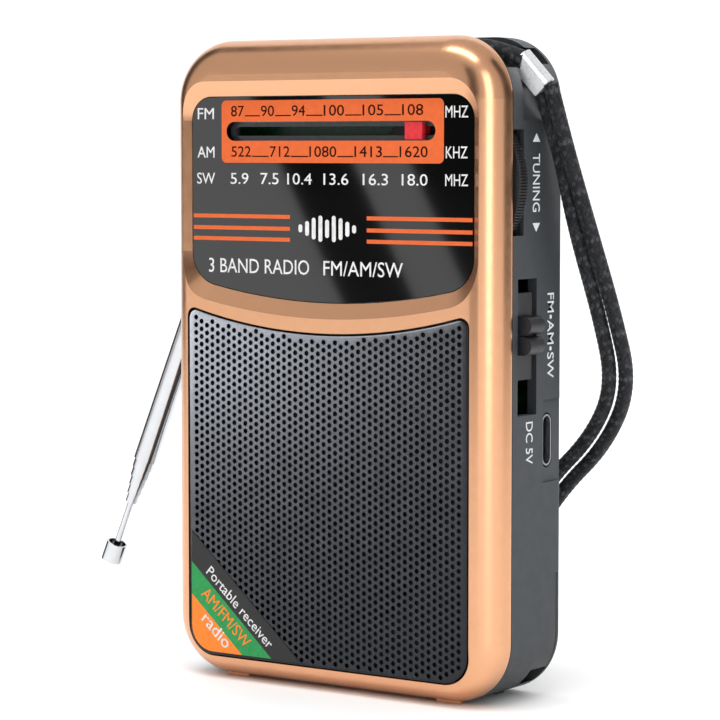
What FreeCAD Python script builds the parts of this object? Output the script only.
import FreeCAD, Part
import math
import os
import Sketcher
from FreeCAD import Placement, Rotation, Vector

# Pocket radio with a sloping dial window, a perforated speaker grille, a swing-out telescopic
# antenna, thumbwheels and a wrist strap.  Millimetres.  The origin is the middle of the base,
# +X is to the right seen from the front, +Y points to the back and +Z is up.
# Every "...Depth" is measured backwards from the plane of the front face.

doc = FreeCAD.newDocument("PocketRadio")
sheet = doc.addObject("Spreadsheet::Sheet", "Sizes")

DIMENSIONS = [
    # case
    ("BodyWidth", 70.0), ("BodyBottom", 0.4), ("BodyTop", 115.4), ("Front", -11.5),
    ("BackDepth", 23.0), ("CornerRadius", 11.0), ("FrontEdgeRadius", 6.2), ("SeamDepth", 6.5),
    ("SeamGap", 0.2), ("BezelFace", 1.9), ("BezelWall", 1.4), ("ShellWall", 1.8),
    ("BackEdgeRadius", 1.2),
    # dial window and lens
    ("LensHalfWidth", 30.25), ("LensTop", 105.2), ("LensBottom", 69.05), ("LensDepth", 1.7),
    ("LensThick", 1.2), ("LensTopCorner", 4.2), ("LensLowCorner", 6.0), ("LensArcRadius", 125.0),
    ("TrimGap", 0.15),
    ("SlotHalfLength", 22.5), ("SlotHeight", 3.4), ("DialRow", 99.1),
    ("DialPlateDepth", 3.2), ("DialPlateThick", 1.0),
    # speaker grille
    ("GrilleHalfWidth", 30.1), ("GrilleBottom", 4.4), ("GrilleTop", 63.4), ("GrilleDepth", 0.15),
    ("GrilleSheet", 0.5), ("GrilleFlange", 2.6), ("GrilleArcRadius", 112.0),
    ("GrilleLowCorner", 5.0), ("GrilleTopCorner", 1.5),
    # speaker
    ("SpeakerRow", 34.5), ("SpeakerRadius", 25.0), ("BaffleDepth", 3.4), ("BaffleThick", 1.2),
    ("MagnetRadius", 11.0), ("MagnetDepth", 9.8), ("MagnetThick", 4.0),
    # tuning drive
    ("WheelX", 21.3), ("WheelRow", 90.2), ("WheelRadius", 15.0), ("WheelDepth", 7.35),
    ("WheelThick", 2.35), ("DrumRadius", 11.5), ("DrumDepth", 5.2), ("DrumThick", 1.2),
    ("CordRadius", 0.25), ("CordGap", 0.05), ("ShaftRadius", 1.5), ("FitGap", 0.05),
    ("GuideX", -27.0), ("GuideRadius", 2.1), ("PinRadius", 0.7),
    ("PointerX", 17.7), ("PointerWidth", 3.6),
    # volume wheel
    ("VolumeX", -26.3), ("VolumeRow", 60.0), ("VolumeRadius", 10.0),
    # band switch, charging socket and earphone socket
    ("SwitchRow", 64.1), 
    ("PortRow", 45.5), ("PortDepth", 18.5), ("PortLength", 9.0), ("PortHeight", 3.0),
    ("JackRow", 76.0), ("JackDepth", 13.8), ("JackRadius", 1.8),
    # antenna
    ("PivotX", -26.0), ("PivotRow", 108.0), ("AntennaDepth", 20.0), ("AntennaAngle", 23.2),
    ("TubeStart", 3.4), ("TubeEnd", 78.0), ("StepShown", 1.85),
    ("RodShown", 9.0), ("CapRadius", 2.05), ("CapLength", 3.8), ("PivotScrewRadius", 0.9),
    # battery and its cover
    ("CoverLeft", -16.0), ("CoverRight", 22.0), ("CoverBottom", 4.5), ("CoverTop", 61.0),
    ("CoverGap", 0.15), ("TabTop", 22.0),
    # circuit board
    ("BoardDepth", 10.4), ("BoardThick", 1.2),
    # strap
    ("StrapRadius", 1.35), ("EyeRadius", 1.7), ("NotchStep", 9.8), ("NotchDepth", 17.8),
]

# The wrist strap is one braided cord.  Both ends leave the crimp, the two strands run side by
# side down behind the case, and the closed end lies open on the table.
STRAP_ROUTE = [
    (38.45, 1.5, 107.1), (39.5, 4.1, 98.0), (40.5, 11.0, 82.9), (41.3, 18.4, 67.6),
    (41.0, 25.1, 54.0), (34.1, 28.4, 42.8), (24.5, 28.3, 33.7), (15.9, 29.3, 21.6),
    (9.0, 30.8, 8.4), (-3.2, 32.7, 1.6), (-15.4, 35.7, 1.5), (-31.6, 44.6, 1.5),
    (-43.4, 44.9, 1.5), (-51.4, 36.6, 1.5), (-51.0, 24.9, 1.5), (-42.6, 17.0, 1.5),
    (-30.9, 17.2, 1.5), (-14.8, 26.3, 1.5), (-2.8, 29.5, 1.6), (8.0, 28.2, 8.6),
    (14.1, 27.1, 22.4), (22.5, 26.9, 35.3), (32.0, 27.0, 44.4), (38.1, 23.9, 54.2),
    (38.5, 18.2, 66.8), (37.6, 11.2, 82.1), (37.1, 6.2, 97.1), (35.9, 2.6, 105.5),
]


def fill_sheet():
    """Write every driving dimension as a named cell."""
    for row, (alias, number) in enumerate(DIMENSIONS, start=1):
        sheet.set(f"A{row}", alias)
        sheet.set(f"B{row}", str(number))
        sheet.setAlias(f"B{row}", alias)
    doc.recompute()


def expand(expression):
    """Prefix each alias in an expression with the sheet's name."""
    text = str(expression)
    words = "".join(c if c.isalnum() else " " for c in text).split()
    for alias in sorted({w for w in words if w in ALIASES}, key=len, reverse=True):
        parts = []
        word = ""
        for char in text + " ":
            if char.isalnum() or char in "_.":
                word += char
                continue
            parts.append("Sizes." + word if word == alias else word)
            parts.append(char)
            word = ""
        text = "".join(parts).strip()
    return text


def val(expression):
    """The number that an expression of sheet aliases stands for."""
    return float(sheet.evalExpression(expand(expression)))


ALIASES = {alias for alias, _ in DIMENSIONS}
fill_sheet()


# ---------------------------------------------------------------- general helpers

def place(obj, x, y, z):
    for letter, expression in zip("xyz", (x, y, z)):
        obj.setExpression(f"Placement.Base.{letter}", expand(expression))


def box(name, x, depth, z, dx, dy, dz):
    """A box from its left, front and low corner; depth counts from the front face."""
    obj = doc.addObject("Part::Box", name)
    for prop, expression in (("Length", dx), ("Width", dy), ("Height", dz)):
        obj.setExpression(prop, expand(expression))
    place(obj, x, f"Front + {depth}", z)
    return obj


def rod_y(name, x, depth, z, radius, length):
    """A cylinder that runs backwards from the given depth."""
    obj = doc.addObject("Part::Cylinder", name)
    obj.Placement = Placement(Vector(), Rotation(Vector(1, 0, 0), -90))
    obj.setExpression("Radius", expand(radius))
    obj.setExpression("Height", expand(length))
    place(obj, x, f"Front + {depth}", z)
    return obj


def rod_x(name, x, depth, z, radius, length):
    """A cylinder that runs to the right from x."""
    obj = doc.addObject("Part::Cylinder", name)
    obj.Placement = Placement(Vector(), Rotation(Vector(0, 1, 0), 90))
    obj.setExpression("Radius", expand(radius))
    obj.setExpression("Height", expand(length))
    place(obj, x, f"Front + {depth}", z)
    return obj


def fuse(name, shapes):
    obj = doc.addObject("Part::MultiFuse", name)
    obj.Shapes = shapes
    return obj


def cut(name, base, tool):
    obj = doc.addObject("Part::Cut", name)
    obj.Base = base
    obj.Tool = tool
    return obj


def group(name, shapes):
    """Separate solids kept in one node."""
    obj = doc.addObject("Part::Compound", name)
    obj.Links = shapes
    return obj


NODES = {}


def node(obj, label):
    """Register an object as a sub-part under its file name."""
    obj.Label = label
    NODES[label] = obj
    return obj


def new_body(label):
    body = doc.addObject("PartDesign::Body", "body_" + label)
    return node(body, label)


def sketch_xz(body, name, depth):
    """A sketch in a plane parallel to the front face at the given depth."""
    sketch = body.newObject("Sketcher::SketchObject", name)
    plane = next(f for f in body.Origin.OriginFeatures if f.Role == "XZ_Plane")
    sketch.AttachmentSupport = [(plane, "")]
    sketch.MapMode = "FlatFace"
    sketch.setExpression("AttachmentOffset.Base.z", expand(f"-(Front + {depth})"))
    return sketch


def pad(body, name, sketch, length):
    """Pad backwards, away from the front face."""
    feature = body.newObject("PartDesign::Pad", name)
    feature.Profile = sketch
    feature.Reversed = True
    feature.setExpression("Length", expand(length))
    doc.recompute()
    return feature


def pocket(body, name, sketch, length, reverse=False, taper=0):
    """Pocket from the sketch: to the back (or the left), or with reverse to the front (or right)."""
    before = body.Shape.Volume
    feature = body.newObject("PartDesign::Pocket", name)
    feature.Profile = sketch
    feature.Reversed = reverse
    feature.TaperAngle = taper
    feature.setExpression("Length", expand(length))
    doc.recompute()
    if feature.Shape.isNull() or feature.Shape.Volume >= before - 0.01:
        raise RuntimeError(f"{name} removes nothing")
    return feature


def fillet(body, name, base, edges, radius):
    feature = body.newObject("PartDesign::Fillet", name)
    feature.Base = (base, edges)
    feature.setExpression("Radius", expand(radius))
    doc.recompute()
    return feature


def edges_at_depth(shape, depth):
    """Names of the edges that lie in the plane at a depth."""
    y = val(f"Front + {depth}")
    names = []
    for index, edge in enumerate(shape.Edges, start=1):
        bounds = edge.BoundBox
        flat = abs(bounds.YMin - y) < 1e-4 and abs(bounds.YMax - y) < 1e-4
        if flat:
            names.append(f"Edge{index}")
    return names


def add_rectangle(sketch, left, bottom, right, top, radius=None):
    """A constrained rectangle, with round corners when a radius is given."""
    x0, z0, x1, z1 = val(left), val(bottom), val(right), val(top)
    r = val(radius) if radius else 0.0
    corners = [(x0, z0), (x1, z0), (x1, z1), (x0, z1)]
    inward = [(1, 1), (-1, 1), (-1, -1), (1, -1)]
    first = sketch.GeometryCount
    for i in range(4):
        a, b = corners[i], corners[(i + 1) % 4]
        step = ((b[0] > a[0]) - (b[0] < a[0]), (b[1] > a[1]) - (b[1] < a[1]))
        start = Vector(a[0] + step[0] * r, a[1] + step[1] * r, 0)
        end = Vector(b[0] - step[0] * r, b[1] - step[1] * r, 0)
        sketch.addGeometry(Part.LineSegment(start, end))
        sketch.addConstraint(Sketcher.Constraint("Vertical" if i % 2 else "Horizontal", first + i))
    if r:
        for i in range(4):
            centre = Vector(corners[i][0] + inward[i][0] * r, corners[i][1] + inward[i][1] * r, 0)
            start = math.pi + i * math.pi / 2
            circle = Part.Circle(centre, Vector(0, 0, 1), r)
            sketch.addGeometry(Part.ArcOfCircle(circle, start, start + math.pi / 2))
            arc = first + 4 + i
            sketch.addConstraint(Sketcher.Constraint("Tangent", first + (i - 1) % 4, 2, arc, 1))
            sketch.addConstraint(Sketcher.Constraint("Tangent", arc, 2, first + i, 1))
            if i:
                sketch.addConstraint(Sketcher.Constraint("Equal", first + 4, arc))
        name_constraint(sketch, Sketcher.Constraint("Radius", first + 4, r), "Radius", radius)
    else:
        for i in range(4):
            link = Sketcher.Constraint("Coincident", first + i, 2, first + (i + 1) % 4, 1)
            sketch.addConstraint(link)
    name_constraint(sketch, Sketcher.Constraint("DistanceY", -1, 1, first, 1, z0), "Bottom", bottom)
    name_constraint(sketch, Sketcher.Constraint("DistanceX", -1, 1, first + 1, 1, x1), "Right", right)
    name_constraint(sketch, Sketcher.Constraint("DistanceY", -1, 1, first + 2, 1, z1), "Top", top)
    name_constraint(sketch, Sketcher.Constraint("DistanceX", -1, 1, first + 3, 1, x0), "Left", left)


def name_constraint(sketch, constraint, word, expression):
    """Add a dimension, name it and bind it to the sheet."""
    index = sketch.addConstraint(constraint)
    name = f"{word}{index}"
    sketch.renameConstraint(index, name)
    sketch.setExpression(f"Constraints.{name}", expand(expression))


def add_circle(sketch, x, z, radius):
    index = sketch.addGeometry(Part.Circle(Vector(val(x), val(z), 0), Vector(0, 0, 1), val(radius)))
    name_constraint(sketch, Sketcher.Constraint("Radius", index, val(radius)), "Radius", radius)
    across = Sketcher.Constraint("DistanceX", -1, 1, index, 3, val(x))
    up = Sketcher.Constraint("DistanceY", -1, 1, index, 3, val(z))
    name_constraint(sketch, across, "Across", x)
    name_constraint(sketch, up, "Up", z)


def add_polygon(sketch, points):
    """A closed run of straight edges."""
    first = sketch.GeometryCount
    count = len(points)
    for i in range(count):
        a, b = points[i], points[(i + 1) % count]
        sketch.addGeometry(Part.LineSegment(Vector(a[0], a[1], 0), Vector(b[0], b[1], 0)))
    for i in range(count):
        link = Sketcher.Constraint("Coincident", first + i, 2, first + (i + 1) % count, 1)
        sketch.addConstraint(link)


def add_loop(sketch, edges):
    """Add the closed line and arc edges of an outline."""
    first = sketch.GeometryCount
    sketch.addGeometry(edges)
    count = len(edges)
    for i in range(count):
        joint = edges[i].EndPoint
        ends = []
        for index in (first + i, first + (i + 1) % count):
            near = (sketch.getPoint(index, 1) - joint).Length < (sketch.getPoint(index, 2) - joint).Length
            ends += [index, 1 if near else 2]
        sketch.addConstraint(Sketcher.Constraint("Coincident", *ends))


def arc_through(centre, start, end):
    """The shorter arc about a centre from start to end."""
    radius = (start - centre).Length
    chord = (start + end) * 0.5 - centre
    middle = centre + chord.normalize() * radius
    return Part.Arc(start, middle, end)


def dished_outline(half, top, bottom, arc_radius, top_corner, low_corner):
    """An outline with straight sides and top whose lower edge bows down in the middle."""
    big = Vector(0, bottom + arc_radius, 0)
    low_x = half - low_corner
    low_z = big.y - math.sqrt((arc_radius - low_corner) ** 2 - low_x ** 2)
    right = Vector(low_x, low_z, 0)
    touch = big + (right - big).normalize() * arc_radius
    left = Vector(-low_x, low_z, 0)
    other = Vector(-touch.x, touch.y, 0)
    top_x = half - top_corner
    top_z = top - top_corner
    return [
        arc_through(big, other, touch),
        arc_through(right, touch, Vector(half, low_z, 0)),
        Part.LineSegment(Vector(half, low_z, 0), Vector(half, top_z, 0)),
        arc_through(Vector(top_x, top_z, 0), Vector(half, top_z, 0), Vector(top_x, top, 0)),
        Part.LineSegment(Vector(top_x, top, 0), Vector(-top_x, top, 0)),
        arc_through(Vector(-top_x, top_z, 0), Vector(-top_x, top, 0), Vector(-half, top_z, 0)),
        Part.LineSegment(Vector(-half, top_z, 0), Vector(-half, low_z, 0)),
        arc_through(left, Vector(-half, low_z, 0), other),
    ]


def hollow_outline(half, bottom, top, arc_radius, low_corner, top_corner):
    """An outline with straight sides and bottom whose upper edge dips in the middle."""
    big = Vector(0, top + arc_radius, 0)
    top_x = half - top_corner
    top_z = big.y - math.sqrt((arc_radius + top_corner) ** 2 - top_x ** 2)
    right = Vector(top_x, top_z, 0)
    touch = big + (right - big).normalize() * arc_radius
    left = Vector(-top_x, top_z, 0)
    other = Vector(-touch.x, touch.y, 0)
    low_x = half - low_corner
    low_z = bottom + low_corner
    return [
        Part.LineSegment(Vector(-low_x, bottom, 0), Vector(low_x, bottom, 0)),
        arc_through(Vector(low_x, low_z, 0), Vector(low_x, bottom, 0), Vector(half, low_z, 0)),
        Part.LineSegment(Vector(half, low_z, 0), Vector(half, top_z, 0)),
        arc_through(right, Vector(half, top_z, 0), touch),
        arc_through(big, touch, other),
        arc_through(left, other, Vector(-half, top_z, 0)),
        Part.LineSegment(Vector(-half, top_z, 0), Vector(-half, low_z, 0)),
        arc_through(Vector(-low_x, low_z, 0), Vector(-half, low_z, 0), Vector(-low_x, bottom, 0)),
    ]


def lens_outline(inset):
    return dished_outline(val("LensHalfWidth") - inset, val("LensTop") - inset,
                          val("LensBottom") + inset, val("LensArcRadius") - inset,
                          val("LensTopCorner") - inset, val("LensLowCorner") - inset)


def grille_outline(inset):
    return hollow_outline(val("GrilleHalfWidth") - inset, val("GrilleBottom") + inset,
                          val("GrilleTop") - inset, val("GrilleArcRadius") + inset,
                          val("GrilleLowCorner") - inset, val("GrilleTopCorner") - inset * 0.5)


def case_rectangle(sketch, inset):
    add_rectangle(sketch, f"-BodyWidth / 2 + ({inset})", f"BodyBottom + ({inset})",
                  f"BodyWidth / 2 - ({inset})", f"BodyTop - ({inset})",
                  f"CornerRadius - ({inset})")


# ---------------------------------------------------------------- case

SCREWS = [(4.0, 109.6), (-19.4, 11.6), (28.4, 30.0)]
FOOT_X = 23.0
RIM_ANGLE = 57.5


def make_bezel():
    """Front bezel: a round-edged frame with a dial window, a grille opening and screw posts."""
    body = new_body("front_bezel")
    outline = sketch_xz(body, "bezel_outline", "0")
    case_rectangle(outline, "0")
    block = pad(body, "bezel_block", outline, "SeamDepth")
    front = edges_at_depth(block.Shape, "0")
    fillet(body, "bezel_round", block, front, "FrontEdgeRadius")
    slope_window(body)
    hollow = sketch_xz(body, "bezel_hollow_outline", "SeamDepth")
    case_rectangle(hollow, "BezelWall")
    pocket(body, "bezel_hollow", hollow, "2.5", reverse=True)
    shelf = sketch_xz(body, "bezel_shelf_outline", "SeamDepth")
    case_rectangle(shelf, "BezelWall + 2")
    pocket(body, "bezel_shelf", shelf, "SeamDepth - BezelFace", reverse=True)
    window = sketch_xz(body, "window_outline", "-1")
    add_loop(window, lens_outline(-val("TrimGap")))
    pocket(body, "window_opening", window, "SeamDepth")
    grille = sketch_xz(body, "grille_opening_outline", "-1")
    add_loop(grille, grille_outline(-0.3))
    pocket(body, "grille_opening", grille, "SeamDepth")
    posts = sketch_xz(body, "post_outline", "BezelFace - 0.4")
    for x, z in SCREWS[:1]:
        add_circle(posts, str(x), str(z), "2.2")
    pad(body, "posts", posts, "SeamDepth - BezelFace + 0.4")
    bores = sketch_xz(body, "post_bores", "SeamDepth")
    for x, z in SCREWS[:1]:
        add_circle(bores, str(x), str(z), "0.95")
    pocket(body, "post_holes", bores, "3.6", reverse=True)
    feet = sketch_xz(body, "front_feet_outline", "5.3")
    for x in (-FOOT_X, FOOT_X):
        add_rectangle(feet, f"{x} - 2.5", "0", f"{x} + 2.5", "BodyBottom + 0.6")
    pad(body, "front_feet", feet, "SeamDepth - 5.3")


def slope_window(body):
    """Sloping rim from the front face down to the sunk lens."""
    lead = 1.0
    wide = (lead + val("LensDepth")) * math.tan(math.radians(RIM_ANGLE))
    outline = sketch_xz(body, "rim_outline", f"-{lead}")
    add_loop(outline, lens_outline(-val("TrimGap") - wide))
    pocket(body, "window_rim", outline, f"LensDepth + {lead}", taper=-RIM_ANGLE)


def make_shell():
    """Rear shell: a deep tray with the side slots, the strap notch and the antenna recess."""
    body = new_body("rear_shell")
    outline = sketch_xz(body, "shell_outline", "SeamDepth + SeamGap")
    case_rectangle(outline, "0")
    block = pad(body, "shell_block", outline, "BackDepth - SeamDepth - SeamGap")
    back = edges_at_depth(block.Shape, "BackDepth")
    fillet(body, "shell_round", block, back, "BackEdgeRadius")
    front_room = sketch_xz(body, "front_room_outline", "SeamDepth")
    case_rectangle(front_room, "ShellWall")
    pocket(body, "front_room", front_room, "16.2 - SeamDepth")
    back_room = sketch_xz(body, "back_room_outline", "16")
    add_rectangle(back_room, "-21.4", "BodyBottom + ShellWall", "BodyWidth / 2 - ShellWall",
                  "BodyTop - ShellWall", "4")
    pocket(body, "back_room", back_room, "BackDepth - ShellWall - 16")
    lip = sketch_xz(body, "lip_outline", "SeamDepth - 0.6")
    case_rectangle(lip, "BezelWall + 0.2")
    case_rectangle(lip, "BezelWall + 1")
    pad(body, "lip", lip, "0.6 + SeamGap + 0.6")
    drum_room = sketch_xz(body, "drum_room_outline", "0")
    add_rectangle(drum_room, "30", "77", "BodyWidth / 2 - 1.4", "WheelRow + 12.6")
    pocket(body, "drum_room", drum_room, "SeamDepth + SeamGap + 1")
    strap_notch(body)
    screw_bosses(body)
    side_openings(body)
    antenna_recess(body)
    cover_opening(body)
    feet = sketch_xz(body, "rear_feet_outline", "16.8")
    for x in (-FOOT_X, FOOT_X):
        add_rectangle(feet, f"{x} - 2.5", "0", f"{x} + 2.5", "BodyBottom + 0.6")
    pad(body, "rear_feet", feet, "2.6")
    rest = sketch_xz(body, "rest_pad_outline", "8.5")
    add_rectangle(rest, "-15", "0", "15", "BodyBottom + 0.6")
    pad(body, "rest_pad", rest, "11")


def strap_notch(body):
    """Notch in the top right corner behind the bezel, walled off from the inside."""
    wall = sketch_xz(body, "notch_wall_outline", "SeamDepth + SeamGap")
    add_polygon(wall, [(15.0, 114.6), (15.0, 106.0), (28.0, 106.0), (31.0, 104.9),
                       (33.0, 100.4), (34.4, 99.2), (34.4, 104.4), (33.4, 108.4), (31.2, 111.6),
                       (28.0, 113.8), (24.0, 114.6)])
    pad(body, "notch_wall", wall, "NotchDepth + 1.4 - SeamDepth - SeamGap")
    front = sketch_xz(body, "notch_front_outline", "0")
    add_polygon(front, [(16.6, 117.0), (16.6, 107.3), (28.5, 107.3), (37.0, 111.5), (37.0, 117.0)])
    pocket(body, "notch_front", front, "NotchStep")
    back = sketch_xz(body, "notch_back_outline", "NotchStep")
    add_polygon(back, [(16.6, 117.0), (16.6, 107.3), (28.5, 107.3), (32.2, 106.2),
                       (34.4, 101.3), (37.0, 98.9), (37.0, 117.0)])
    pocket(body, "notch_back", back, "NotchDepth - NotchStep")


def screw_bosses(body):
    """Bosses that carry the case screws, with a deep counterbore from the back."""
    bosses = sketch_xz(body, "boss_outline", "SeamDepth + 0.5")
    for x, z in SCREWS:
        add_circle(bosses, str(x), str(z), "2.7")
    pad(body, "bosses", bosses, "BackDepth - SeamDepth - 1.2")
    bores = sketch_xz(body, "boss_bores", "BackDepth")
    for x, z in SCREWS:
        add_circle(bores, str(x), str(z), "1.1")
    pocket(body, "boss_holes", bores, "BackDepth - SeamDepth", reverse=True)
    heads = sketch_xz(body, "boss_heads", "BackDepth")
    for x, z in SCREWS:
        add_circle(heads, str(x), str(z), "2.05")
    pocket(body, "boss_counterbores", heads, "BackDepth - 17.4", reverse=True)


def side_openings(body):
    """Slots in both side walls for the wheels, the switch, the sockets and the jack."""
    side_slot(body, "tuning_slot", "BodyWidth / 2 - 3", "81.2", "SeamDepth", "10.05 - SeamDepth",
              "18.1")
    side_slot(body, "tuning_relief", "BodyWidth / 2 - 3", "79.9", "SeamDepth",
              "10.4 - SeamDepth", "20.7", "2.2")
    side_slot(body, "switch_slot", "BodyWidth / 2 - 3", "50.3", "8.3", "6.1", "23.5")
    side_slot(body, "port_recess", "BodyWidth / 2 - 0.4", "38.2", "16.6", "8", "14.4")
    side_slot(body, "volume_slot", "-BodyWidth / 2 - 3", "VolumeRow - 7.9", "SeamDepth",
              "10.05 - SeamDepth", "15.8")
    port = side_sketch(body, "port_outline", "BodyWidth / 2 - 3")
    add_pill(port, val("Front + PortDepth"), val("PortRow"), 4.8, 1.65)
    pocket(body, "port_hole", port, "4", reverse=True)
    jack = side_sketch(body, "jack_outline", "-BodyWidth / 2 - 1")
    add_circle(jack, "Front + JackDepth", "JackRow", "JackRadius + 0.2")
    pocket(body, "jack_hole", jack, "4", reverse=True)


def side_sketch(body, name, x):
    """A sketch parallel to the side walls: its own x is the row's Y and its y is Z."""
    sketch = body.newObject("Sketcher::SketchObject", name)
    plane = next(f for f in body.Origin.OriginFeatures if f.Role == "YZ_Plane")
    sketch.AttachmentSupport = [(plane, "")]
    sketch.MapMode = "FlatFace"
    sketch.setExpression("AttachmentOffset.Base.z", expand(x))
    return sketch


def side_slot(body, name, x, bottom, depth, width, height, reach="6"):
    """A rectangular slot in a side wall that runs to the right from x."""
    sketch = side_sketch(body, name + "_outline", x)
    add_rectangle(sketch, f"Front + {depth}", bottom, f"Front + {depth} + {width}",
                  f"{bottom} + {height}")
    pocket(body, name, sketch, reach, reverse=True)


def add_pill(sketch, y, z, half_length, half_width):
    """A slot outline with full round ends, long in Z."""
    straight = half_length - half_width
    low, high = z - straight, z + straight
    right = Part.LineSegment(Vector(y + half_width, low, 0), Vector(y + half_width, high, 0))
    left = Part.LineSegment(Vector(y - half_width, high, 0), Vector(y - half_width, low, 0))
    over = Part.Arc(Vector(y + half_width, high, 0), Vector(y, high + half_width, 0),
                    Vector(y - half_width, high, 0))
    under = Part.Arc(Vector(y - half_width, low, 0), Vector(y, low - half_width, 0),
                     Vector(y + half_width, low, 0))
    add_loop(sketch, [right, over, left, under])


def antenna_recess(body):
    """Rebate along the rear left edge in which the antenna lies, and its pivot boss."""
    boss = sketch_xz(body, "pivot_boss_outline", "12.6")
    add_circle(boss, "PivotX", "PivotRow", "3.4")
    pad(body, "pivot_boss", boss, "4.2")
    rebate = sketch_xz(body, "rebate_outline", "17.4")
    add_rectangle(rebate, "-BodyWidth / 2 - 3", "-3", "-22.8", "BodyTop + 3")
    pocket(body, "rebate", rebate, "8")
    bore = sketch_xz(body, "pivot_bore", "BackDepth")
    add_circle(bore, "PivotX", "PivotRow", "PivotScrewRadius + 0.02")
    pocket(body, "pivot_hole", bore, "BackDepth - 13.6", reverse=True)


def cover_opening(body):
    """Opening for the battery cover, with a finger tab that wraps round the right edge."""
    opening = sketch_xz(body, "cover_opening_outline", "BackDepth + 1")
    add_rectangle(opening, "CoverLeft", "CoverBottom", "CoverRight", "CoverTop", "2")
    pocket(body, "cover_hole", opening, "ShellWall + 1.5", reverse=True)
    tab = sketch_xz(body, "cover_tab_outline", "BackDepth + 1")
    add_rectangle(tab, "CoverRight - 3", "CoverBottom", "BodyWidth / 2 + 2", "TabTop")
    pocket(body, "cover_tab_step", tab, "2.8", reverse=True)


def tab_edges():
    """The cover tab's outline: square at its inner side, round with the corner of the case."""
    radius = val("CornerRadius")
    left, right = val("CoverRight - 2.6"), val("BodyWidth / 2")
    low, high = val("CoverBottom + CoverGap"), val("TabTop - CoverGap")
    centre = Vector(right - radius, val("BodyBottom") + radius, 0)
    drop = centre.y - low
    foot = Vector(centre.x + math.sqrt(radius ** 2 - drop ** 2), low, 0)
    lean = math.atan2(-drop, foot.x - centre.x) / 2
    middle = centre + Vector(math.cos(lean), math.sin(lean), 0) * radius
    side = Vector(right, centre.y, 0)
    corners = [side, Vector(right, high, 0), Vector(left, high, 0), Vector(left, low, 0), foot]
    edges = [Part.LineSegment(a, b) for a, b in zip(corners, corners[1:])]
    return edges + [Part.Arc(foot, middle, side)]


def make_cover():
    """Battery cover: the plate that fills the opening, flush with the case."""
    body = new_body("battery_cover")
    outline = sketch_xz(body, "cover_outline", "BackDepth - 1.6")
    add_rectangle(outline, "CoverLeft + CoverGap", "CoverBottom + CoverGap",
                  "CoverRight - CoverGap", "CoverTop - CoverGap", "2 - CoverGap")
    pad(body, "cover_plate", outline, "1.6")
    tab = sketch_xz(body, "tab_outline", "BackDepth - 1.6")
    add_loop(tab, tab_edges())
    tab_pad = pad(body, "tab_plate", tab, "1.6")
    edge_x, edge_y = val("BodyWidth / 2"), val("Front + BackDepth")
    names = []
    for index, edge in enumerate(tab_pad.Shape.Edges, start=1):
        b = edge.BoundBox
        upright = b.ZLength > 5 and b.XLength < 0.01 and b.YLength < 0.01
        if upright and abs(b.XMin - edge_x) < 0.01 and abs(b.YMin - edge_y) < 0.01:
            names.append(f"Edge{index}")
    fillet(body, "tab_round", tab_pad, names, "BackEdgeRadius")


def make_screws():
    screws = []
    for i, (x, z) in enumerate(SCREWS):
        shank = rod_y(f"screw_shank_{i}", str(x), "3.6", str(z), "0.9", "13.9")
        head = rod_y(f"screw_head_{i}", str(x), "17.4", str(z), "1.9", "1.3")
        slot_a = box(f"screw_slot_a_{i}", f"{x} - 1.1", "18.1", f"{z} - 0.2", "2.2", "1", "0.4")
        slot_b = box(f"screw_slot_b_{i}", f"{x} - 0.2", "18.1", f"{z} - 1.1", "0.4", "1", "2.2")
        cross = fuse(f"screw_cross_{i}", [slot_a, slot_b])
        screws.append(cut(f"screw_{i}", fuse(f"screw_solid_{i}", [shank, head]), cross))
    node(group("screws", screws), "case_screws")


# ---------------------------------------------------------------- front panel

def make_lens():
    """Dial lens with the long round-ended pointer window."""
    body = new_body("window_lens")
    outline = sketch_xz(body, "lens_outline", "LensDepth")
    add_loop(outline, lens_outline(0.0))
    pad(body, "lens_plate", outline, "LensThick")
    slot = sketch_xz(body, "pointer_window_outline", "0")
    add_level_pill(slot, val("SlotHalfLength"), val("SlotHeight") / 2)
    pocket(body, "pointer_window", slot, "SeamDepth")


def add_level_pill(sketch, half_length, half_width):
    """A slot outline with full round ends, long in X, on the dial row."""
    z = val("DialRow")
    straight = half_length - half_width
    top = Part.LineSegment(Vector(straight, z + half_width, 0), Vector(-straight, z + half_width, 0))
    left = Part.Arc(Vector(-straight, z + half_width, 0), Vector(-half_length, z, 0),
                    Vector(-straight, z - half_width, 0))
    low = Part.LineSegment(Vector(-straight, z - half_width, 0), Vector(straight, z - half_width, 0))
    right = Part.Arc(Vector(straight, z - half_width, 0), Vector(half_length, z, 0),
                     Vector(straight, z + half_width, 0))
    add_loop(sketch, [top, left, low, right])


def make_dial_plate():
    """Backing plate behind the lens, with the pointer's guide slot and two posts for the cord guides."""
    body = new_body("dial_plate")
    outline = sketch_xz(body, "dial_plate_outline", "DialPlateDepth")
    add_loop(outline, lens_outline(-0.6))
    pad(body, "dial_plate_sheet", outline, "DialPlateThick")
    guide = sketch_xz(body, "guide_outline", "0")
    add_level_pill(guide, 21.6, 0.8)
    pocket(body, "guide_slot", guide, "SeamDepth")
    posts = sketch_xz(body, "guide_post_outline", "DialPlateDepth")
    for z in ("WheelRow + DrumRadius + 0.3 - GuideRadius - 0.3",
              "WheelRow - DrumRadius - 0.3 + GuideRadius + 0.3"):
        add_circle(posts, "GuideX", z, "PinRadius")
    pad(body, "guide_posts", posts, "DrumDepth + DrumThick + 0.4 - DialPlateDepth")


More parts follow.
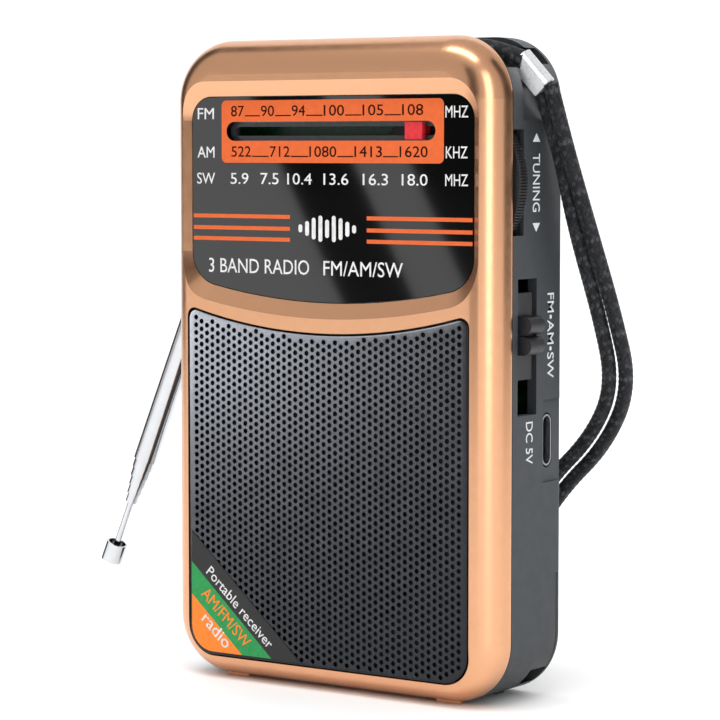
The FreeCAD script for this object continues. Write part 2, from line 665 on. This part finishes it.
def make_grille():
    """Speaker grille: a flat sheet with its edge folded back."""
    body = new_body("speaker_grille")
    outline = sketch_xz(body, "grille_outline", "GrilleDepth")
    add_loop(outline, grille_outline(0.0))
    block = pad(body, "grille_block", outline, "GrilleSheet + GrilleFlange")
    front = edges_at_depth(block.Shape, "GrilleDepth")
    fillet(body, "grille_fold", block, front, "0.4")
    hollow = sketch_xz(body, "grille_hollow_outline", "GrilleDepth + GrilleSheet + GrilleFlange")
    add_loop(hollow, grille_outline(val("GrilleSheet")))
    pocket(body, "grille_hollow", hollow, "GrilleFlange", reverse=True)


def make_decal():
    """Thin corner label on the grille, in three slanted bands."""
    body = new_body("corner_label")
    outline = sketch_xz(body, "label_outline", "GrilleDepth - 0.12")
    left, low = -29.7, 4.9
    points = [(left + 0.1, 8.2), (left + 0.1, 27.0), (-5.0, low), (-25.0, low),
              (-26.9, 5.4), (-28.6, 6.6)]
    add_polygon(outline, points)
    pad(body, "label_sheet", outline, "0.12")


def make_speaker():
    """Round speaker on a baffle plate: basket, magnet, cone and dust cap."""
    body = new_body("baffle")
    outline = sketch_xz(body, "baffle_outline", "BaffleDepth")
    add_loop(outline, grille_outline(0.4))
    add_circle(outline, "0", "SpeakerRow", "SpeakerRadius - 2.2")
    for x, z in SCREWS[1:]:
        add_circle(outline, str(x), str(z), "0.9")
    pad(body, "baffle_plate", outline, "BaffleThick")
    behind = "BaffleDepth + BaffleThick"
    flange = rod_y("basket_flange", "0", behind, "SpeakerRow", "SpeakerRadius", "0.8")
    cone_wall = frustum("basket_wall", "0", f"{behind} + 0.8", "SpeakerRow",
                        "SpeakerRadius - 1.6", "MagnetRadius + 1.5",
                        "MagnetDepth - BaffleDepth - BaffleThick - 0.8")
    outer = fuse("basket_outer", [flange, cone_wall])
    mouth = frustum("basket_mouth", "0", behind, "SpeakerRow", "SpeakerRadius - 2.4",
                    "MagnetRadius + 0.6", "MagnetDepth - BaffleDepth - BaffleThick - 0.6")
    vents = [rod_y(f"basket_vent_{i}", f"16 * {math.cos(math.radians(60 * i)):.4f}", behind,
                   f"SpeakerRow + 16 * {math.sin(math.radians(60 * i)):.4f}", "3.2", "8")
             for i in range(6)]
    basket = cut("basket", outer, fuse("basket_voids", [mouth] + vents))
    node(basket, "speaker_basket")
    magnet = rod_y("magnet", "0", "MagnetDepth", "SpeakerRow", "MagnetRadius", "MagnetThick")
    node(magnet, "speaker_magnet")
    cone = frustum("cone_outer", "0", f"{behind} + 0.3", "SpeakerRow", "SpeakerRadius - 3.6",
                   "5.5", "4.2")
    hollow = frustum("cone_inner", "0", f"{behind} + 0.2", "SpeakerRow", "SpeakerRadius - 4",
                     "5.0", "4.0")
    cap = frustum("dust_cap", "0", f"{behind} + 2.2", "SpeakerRow", "4.2", "6.4", "1.8")
    node(fuse("cone", [cut("cone_skin", cone, hollow), cap]), "speaker_cone")


def frustum(name, x, depth, z, front_radius, back_radius, length):
    """A cone along Y that starts at the given depth with its front radius."""
    obj = doc.addObject("Part::Cone", name)
    obj.Placement = Placement(Vector(), Rotation(Vector(1, 0, 0), -90))
    obj.setExpression("Radius1", expand(front_radius))
    obj.setExpression("Radius2", expand(back_radius))
    obj.setExpression("Height", expand(length))
    place(obj, x, f"Front + {depth}", z)
    return obj


# ---------------------------------------------------------------- tuning drive

CORD_LINE = "(DrumRadius + CordRadius + CordGap)"
CORD_DEPTH = "(DrumDepth + DrumThick / 2)"


def make_tuning_wheel():
    """Thumbwheel with the cord drum in front of it, on the shaft of the tuning capacitor."""
    rim = rod_y("wheel_rim", "WheelX", "WheelDepth", "WheelRow", "WheelRadius", "WheelThick")
    hub = rod_y("wheel_hub", "WheelX", "DrumDepth", "WheelRow", "5", "WheelDepth - DrumDepth")
    drum = rod_y("wheel_drum", "WheelX", "DrumDepth", "WheelRow", "DrumRadius", "DrumThick")
    bore = rod_y("wheel_bore", "WheelX", "DrumDepth - 1", "WheelRow", "ShaftRadius", "7")
    node(cut("wheel", fuse("wheel_solid", [rim, hub, drum]), bore), "tuning_wheel")
    shaft = rod_y("shaft", "WheelX", "DrumDepth - 0.4", "WheelRow", "ShaftRadius", "12")
    node(shaft, "tuning_shaft")


def make_tuning_capacitor():
    can = box("capacitor_can", "WheelX - 10", "BoardDepth + BoardThick + 0.2", "WheelRow - 10",
              "20", "7.4", "20")
    bush = rod_y("capacitor_bush", "WheelX", "10", "WheelRow", "3.2", "2")
    bore = rod_y("capacitor_bore", "WheelX", "9.5", "WheelRow", "ShaftRadius + FitGap", "8.2")
    node(cut("capacitor", fuse("capacitor_solid", [can, bush]), bore), "tuning_capacitor")


def make_dial_cord():
    """Endless dial cord round the drum and the two guides."""
    y = val(f"Front + {CORD_DEPTH}")
    line = val(CORD_LINE)
    wheel_x, row, guide_x = val("WheelX"), val("WheelRow"), val("GuideX")
    turn = val("GuideRadius + CordGap + CordRadius")
    high, low = row + line, row - line
    left = guide_x - turn
    bend = turn * math.sqrt(0.5)

    def at(x, z):
        return Vector(x, y, z)

    edges = [
        Part.LineSegment(at(wheel_x, high), at(guide_x, high)),
        Part.Arc(at(guide_x, high), at(guide_x - bend, high - turn + bend), at(left, high - turn)),
        Part.LineSegment(at(left, high - turn), at(left, low + turn)),
        Part.Arc(at(left, low + turn), at(guide_x - bend, low + turn - bend), at(guide_x, low)),
        Part.LineSegment(at(guide_x, low), at(wheel_x, low)),
        Part.Arc(at(wheel_x, low), at(wheel_x + line, row), at(wheel_x, high)),
    ]
    path = Part.Wire([e.toShape() for e in edges])
    ring = Part.Circle(at(0, high), Vector(1, 0, 0), val("CordRadius"))
    profile = Part.Wire([ring.toShape()])
    cord = doc.addObject("Part::Feature", "cord_loop")
    cord.Shape = path.makePipeShell([profile], True, True)
    node(cord, "dial_cord")


def make_cord_guides():
    """Two fixed round guides that turn the dial cord at the left."""
    reach = "(DrumRadius + 0.3 - GuideRadius - 0.3)"
    for label, row in (("cord_guide_upper", f"WheelRow + {reach}"),
                       ("cord_guide_lower", f"WheelRow - {reach}")):
        disc = rod_y(label + "_disc", "GuideX", "DrumDepth", row, "GuideRadius", "DrumThick")
        bore = rod_y(label + "_bore", "GuideX", "DrumDepth - 1", row, "PinRadius + FitGap", "4")
        node(cut(label + "_solid", disc, bore), label)


def make_pointer():
    """Pointer block in the lens window, its stem and the hook that takes the dial cord."""
    block = box("pointer_block", "PointerX - PointerWidth / 2", "2.05", "DialRow - 1.5",
                "PointerWidth", "1", "3")
    stem = box("pointer_stem", "PointerX - 0.9", "3", "DialRow - 0.6", "1.8", "1.9", "1.2")
    carriage = box("pointer_carriage", "PointerX - 1.6", "4.5", "DialRow - 0.6", "3.2", "0.4", "4.4")
    hook = box("pointer_hook", "PointerX - 1.2", "4.5", "WheelRow + DrumRadius + 0.1", "2.4", "1.9",
               "1.1")
    groove = rod_x("pointer_groove", "PointerX - 3", CORD_DEPTH, f"WheelRow + {CORD_LINE}",
                   "CordRadius + 0.1", "6")
    solid = fuse("pointer_solid", [block, stem, carriage, hook])
    node(cut("pointer_cut", solid, groove), "dial_pointer")


def make_volume_control():
    rim = rod_y("volume_rim", "VolumeX", "WheelDepth", "VolumeRow", "VolumeRadius", "WheelThick")
    shaft = rod_y("volume_shaft", "VolumeX", "WheelDepth - 0.3", "VolumeRow", "ShaftRadius", "6")
    node(fuse("volume", [rim, shaft]), "volume_wheel")
    can = rod_y("pot_can", "VolumeX", "BoardDepth + BoardThick", "VolumeRow", "6.6", "2.6")
    bore = rod_y("pot_bore", "VolumeX", "11", "VolumeRow", "ShaftRadius + FitGap", "2.6")
    node(cut("pot", can, bore), "volume_potentiometer")


# ---------------------------------------------------------------- switch and sockets

def make_switch():
    """Band switch: fixed body, and the sliding key with its double-lobed knob."""
    body = box("switch_case", "BodyWidth / 2 - 9", "8.8", "SwitchRow - 8.5", "5.6", "5.1", "17")
    slot = box("switch_gap", "BodyWidth / 2 - 5.5", "10.4", "SwitchRow - 4", "3", "1.9", "8")
    node(cut("switch_body", body, slot), "slide_switch")
    plate = box("key_plate", "BodyWidth / 2 - 1.6", "8.8", "SwitchRow - 7.65", "1.1", "4.9", "14.95")
    stem = box("key_stem", "BodyWidth / 2 - 4.6", "10.7", "SwitchRow - 1.2", "3.2", "1.3", "2.4")
    lobes = []
    for i, offset in enumerate(("- 1.75", "+ 1.75")):
        neck = box(f"lobe_neck_{i}", "BodyWidth / 2 - 0.6", "9", f"SwitchRow {offset} - 1.6",
                   "1.3", "4.5", "3.2")
        crown = rod_y(f"lobe_crown_{i}", "BodyWidth / 2 + 0.7", "9", f"SwitchRow {offset}",
                      "1.6", "4.5")
        lobes += [neck, crown]
    node(fuse("switch_key", [plate, stem] + lobes), "band_knob")


def make_usb_socket():
    """Charging socket: a pill-shaped shell, open to the right, with its contact tongue."""
    body = new_body("usb_socket")
    y, z = val("Front + PortDepth"), val("PortRow")
    shell = side_sketch(body, "socket_outline", "BodyWidth / 2 - 7.7")
    add_pill(shell, y, z, val("PortLength / 2"), val("PortHeight / 2"))
    side_pad(body, "socket_shell", shell, "7.3")
    mouth = side_sketch(body, "socket_mouth", "BodyWidth / 2 - 0.4")
    add_pill(mouth, y, z, val("PortLength / 2") - 0.33, val("PortHeight / 2") - 0.33)
    pocket(body, "socket_room", mouth, "6.7")
    tongue = side_sketch(body, "tongue_outline", "BodyWidth / 2 - 7.3")
    add_rectangle(tongue, "Front + PortDepth - 0.35", "PortRow - 3.2", "Front + PortDepth + 0.35",
                  "PortRow + 3.2")
    side_pad(body, "socket_tongue", tongue, "5.6")
    board = box("charge_board", "BodyWidth / 2 - 10", "PortDepth + PortHeight / 2", "37",
                "8", "0.8", "17")
    node(board, "charging_board")


def side_pad(body, name, sketch, length):
    """Pad to the right from a sketch parallel to the side walls."""
    feature = body.newObject("PartDesign::Pad", name)
    feature.Profile = sketch
    feature.setExpression("Length", expand(length))
    doc.recompute()
    return feature


def make_jack():
    body = box("jack_body", "-BodyWidth / 2 + ShellWall", "BoardDepth + BoardThick", "JackRow - 3",
               "12", "4.4", "6")
    bore = rod_x("jack_bore", "-BodyWidth / 2", "JackDepth", "JackRow", "JackRadius", "13")
    node(cut("jack", body, bore), "earphone_jack")


# ---------------------------------------------------------------- electronics and battery

def make_board():
    """Main circuit board with clearance for the bushes, in front of which the wheels turn."""
    body = new_body("main_board")
    outline = sketch_xz(body, "board_outline", "BoardDepth")
    add_polygon(outline, [(-32.4, 50.0), (-20.5, 50.0), (-20.5, 61.5), (25.8, 61.5),
                          (25.8, 75.0), (32.4, 75.0), (32.4, 100.4), (24.0, 104.6),
                          (-32.4, 104.6)])
    add_circle(outline, "WheelX", "WheelRow", "3.5")
    add_circle(outline, "VolumeX", "VolumeRow", "2")
    pad(body, "board_sheet", outline, "BoardThick")


def make_components():
    """Parts on the back of the board."""
    back = "BoardDepth + BoardThick"
    cans = [box(f"can_{i}", str(-19 + 10 * i), back, "92", "7", "7.5", "7") for i in range(3)]
    node(group("cans", cans), "if_transformers")
    tubs = [rod_y(f"tub_{i}", str(x), back, str(z), "2.5", "7")
            for i, (x, z) in enumerate(((-16, 79.5), (-9, 78.5), (4, 80)))]
    node(group("tubs", tubs), "electrolytic_capacitors")
    node(box("chip", "-11", back, "84", "10", "1.6", "4"), "radio_chip")
    node(rod_x("rod", "-21", "16.6", "68", "3.5", "46"), "ferrite_rod")
    winding = rod_x("winding", "-8", "16.6", "68", "4.3", "20")
    core = rod_x("winding_core", "-9", "16.6", "68", "3.5", "22")
    node(cut("coil", winding, core), "aerial_coil")


def make_battery():
    """Flat rechargeable pack in its tray, with three spring contacts."""
    outer = box("tray_outer", "-15.4", "14.2", "5.1", "36.8", "7", "55.3")
    inner = box("tray_inner", "-14.4", "15", "5.9", "34.8", "7", "53.9")
    node(cut("tray", outer, inner), "battery_tray")
    node(box("pack", "-14", "15.2", "6.1", "34", "5.6", "52.4"), "battery_pack")
    leaves = [box(f"leaf_{i}", str(-4 + 6 * i), "16.6", "58.5", "2", "2.6", "1.3") for i in range(3)]
    node(group("leaves", leaves), "battery_contacts")


# ---------------------------------------------------------------- antenna

SECTIONS = [(2.3, 2.1), (2.05, 1.9), (1.85, 1.65), (1.6, 1.45), (1.4, 1.2), (1.15, 0.65)]
ROD_RADIUS = 0.6


def antenna_rod(name, start, length, radius):
    """A cylinder along the antenna, from a distance to the pivot."""
    lean = math.radians(val("AntennaAngle"))
    along = Vector(-math.sin(lean), 0, -math.cos(lean))
    obj = doc.addObject("Part::Cylinder", name)
    obj.Placement = Placement(Vector(), Rotation(Vector(0, 0, 1), along))
    obj.setExpression("Radius", expand(radius))
    obj.setExpression("Height", expand(length))
    place(obj, f"PivotX + ({start}) * {along.x:.9f}", "Front + AntennaDepth",
          f"PivotRow + ({start}) * {along.z:.9f}")
    return obj


def make_antenna():
    """Pivot screw, knuckle, six nested tubes, and the rod with its cup-shaped cap."""
    shank = rod_y("pivot_shank", "PivotX", "14", "PivotRow", "PivotScrewRadius", "7.8")
    head = rod_y("pivot_head", "PivotX", "21.6", "PivotRow", "2.3", "1.1")
    slot = box("pivot_slot", "PivotX - 3", "22.2", "PivotRow - 0.3", "6", "1", "0.6")
    node(cut("pivot_screw", fuse("pivot_screw_solid", [shank, head]), slot), "antenna_screw")
    eye = rod_y("knuckle_eye", "PivotX", "18", "PivotRow", "2.9", "3.4")
    neck = antenna_rod("knuckle_neck", "1.2", "5.2", str(SECTIONS[0][1]))
    bore = rod_y("knuckle_bore", "PivotX", "17", "PivotRow", "PivotScrewRadius + FitGap", "6")
    head_room = rod_y("knuckle_head_room", "PivotX", "21.4", "PivotRow", "2.6", "2")
    rooms = fuse("knuckle_rooms", [bore, head_room])
    node(cut("knuckle", fuse("knuckle_solid", [eye, neck]), rooms), "antenna_knuckle")
    for i, (outer, inner) in enumerate(SECTIONS):
        start = f"TubeStart + {3.4 * (i > 0) + 0.8 * i:.1f}"
        end = f"TubeEnd + {i} * StepShown"
        tube = antenna_rod(f"tube_{i + 1}_outer", start, f"{end} - ({start})", str(outer))
        room = antenna_rod(f"tube_{i + 1}_inner", f"{start} - 1", f"{end} - ({start}) + 2", str(inner))
        node(cut(f"tube_{i + 1}", tube, room), f"antenna_tube_{i + 1}")
    cap_start = "(TubeEnd + 5 * StepShown + RodShown)"
    wire = antenna_rod("rod_wire", "12", f"{cap_start} - 12 + 1.6", str(ROD_RADIUS))
    cap = antenna_rod("cap_outer", cap_start, "CapLength", "CapRadius")
    cup = antenna_rod("cap_cup", f"{cap_start} - 1", "3.2", "CapRadius - 0.35")
    stub = antenna_rod("cap_stub", f"{cap_start} - 2", "5", str(ROD_RADIUS))
    shell = fuse("cap_shell", [cut("cap_hollow", cap, cup), stub])
    node(cut("cap", shell, antenna_rod("cap_core", "12", f"{cap_start} - 12 + 1.6", str(ROD_RADIUS))),
         "antenna_cap")
    node(wire, "antenna_rod")


# ---------------------------------------------------------------- strap

CRIMP_EXIT = Vector(36.96, 2.0, 106.3)
CRIMP_ALONG = Vector(0.6365, 0.160, -0.755)
CRIMP_ACROSS = Vector(0.760, -0.300, 0.577)
CRIMP_SIZE = (6.9, 4.2, 2.4)
EYE_ROUTE = [
    (33.6, 0.75, 111.1), (29.0, -0.3, 112.9), (24.0, -1.0, 113.5), (18.9, -1.4, 113.4),
    (18.9, -1.4, 109.15), (23.5, -1.3, 109.0), (28.2, -0.5, 109.3), (31.85, 1.0, 109.85),
]


def cord_tube(points, radius, report):
    """A tube along straight runs joined by tangent arcs, as large as the runs allow."""
    corners = [Vector(*p) for p in points]
    edges = []
    length = 0.0
    radii = []
    last = corners[0]
    for before, corner, after in zip(corners, corners[1:], corners[2:]):
        way_in = (corner - before).normalize()
        way_out = (after - corner).normalize()
        half = way_in.getAngle(way_out) / 2
        setback = 0.45 * min((corner - before).Length, (after - corner).Length)
        bend = setback / math.tan(half)
        centre = corner + (way_out - way_in).normalize() * (bend / math.cos(half))
        start = corner - way_in * setback
        end = corner + way_out * setback
        middle = centre + (corner - centre).normalize() * bend
        edges.append(Part.LineSegment(last, start).toShape())
        edges.append(Part.Arc(start, middle, end).toShape())
        length += (start - last).Length + 2 * half * bend
        radii.append(bend)
        last = end
    edges.append(Part.LineSegment(last, corners[-1]).toShape())
    length += (corners[-1] - last).Length
    path = Part.Wire(edges)
    first = (corners[1] - corners[0]).normalize()
    profile = Part.Wire([Part.Circle(corners[0], first, radius).toShape()])
    tube = path.makePipeShell([profile], True, True)
    ratio = tube.Volume / (math.pi * radius ** 2 * length)
    print(f"{report}: length {length:.1f}, bends {min(radii):.1f} to {max(radii):.1f},",
          f"volume ratio {ratio:.4f}, low {tube.optimalBoundingBox(False, False).ZMin:.2f}")
    return tube


def make_strap():
    """Wrist strap: lug bar, the eye held in the notch, the crimp and the free loop."""
    bar = rod_y("lug_bar", "21.4", "SeamDepth + SeamGap", "111.2", "0.9", "NotchDepth - SeamDepth - SeamGap")
    node(bar, "strap_lug_bar")
    radius = val("StrapRadius")
    eye = doc.addObject("Part::Feature", "eye")
    eye.Shape = cord_tube(EYE_ROUTE, val("EyeRadius"), "strap eye")
    node(eye, "strap_eye")
    crimp = doc.addObject("Part::Box", "crimp")
    for prop, length in zip(("Length", "Width", "Height"), CRIMP_SIZE):
        setattr(crimp, prop, length)
    normal = CRIMP_ALONG.cross(CRIMP_ACROSS)
    turn = Rotation(CRIMP_ALONG, CRIMP_ACROSS, normal, "XZY")
    corner = Vector(-CRIMP_SIZE[0], -CRIMP_SIZE[1] / 2, -CRIMP_SIZE[2] / 2)
    crimp.Placement = Placement(CRIMP_EXIT + turn.multVec(corner), turn)
    node(crimp, "strap_crimp")
    strap = doc.addObject("Part::Feature", "strap")
    strap.Shape = cord_tube(STRAP_ROUTE, radius, "strap")
    node(strap, "strap_cord")


# ---------------------------------------------------------------- build and export

def build():
    for make in (make_bezel, make_shell, make_cover, make_screws, make_lens, make_dial_plate,
                 make_grille, make_decal, make_speaker, make_tuning_wheel, make_tuning_capacitor,
                 make_dial_cord, make_cord_guides, make_pointer, make_volume_control, make_switch,
                 make_usb_socket, make_jack, make_board, make_components, make_battery,
                 make_antenna, make_strap):
        make()
    doc.recompute()


def check():
    """Stop when any object failed to build or a sub-part is not one valid shape."""
    for obj in doc.Objects:
        if "Invalid" in obj.State or "Error" in obj.State:
            raise RuntimeError(f"{obj.Name} did not build: {obj.State}")
    for label, obj in NODES.items():
        shape = obj.Shape
        if shape.isNull() or not shape.isValid() or shape.Volume <= 0:
            raise RuntimeError(f"{label} has no valid shape")
        print(f"{label}: {len(shape.Solids)} solid, {shape.Volume:.1f} mm3")


def export():
    os.makedirs("parts", exist_ok=True)
    for label, obj in NODES.items():
        obj.Shape.exportStep(os.path.join("parts", label + ".step"))


build()
check()
export()
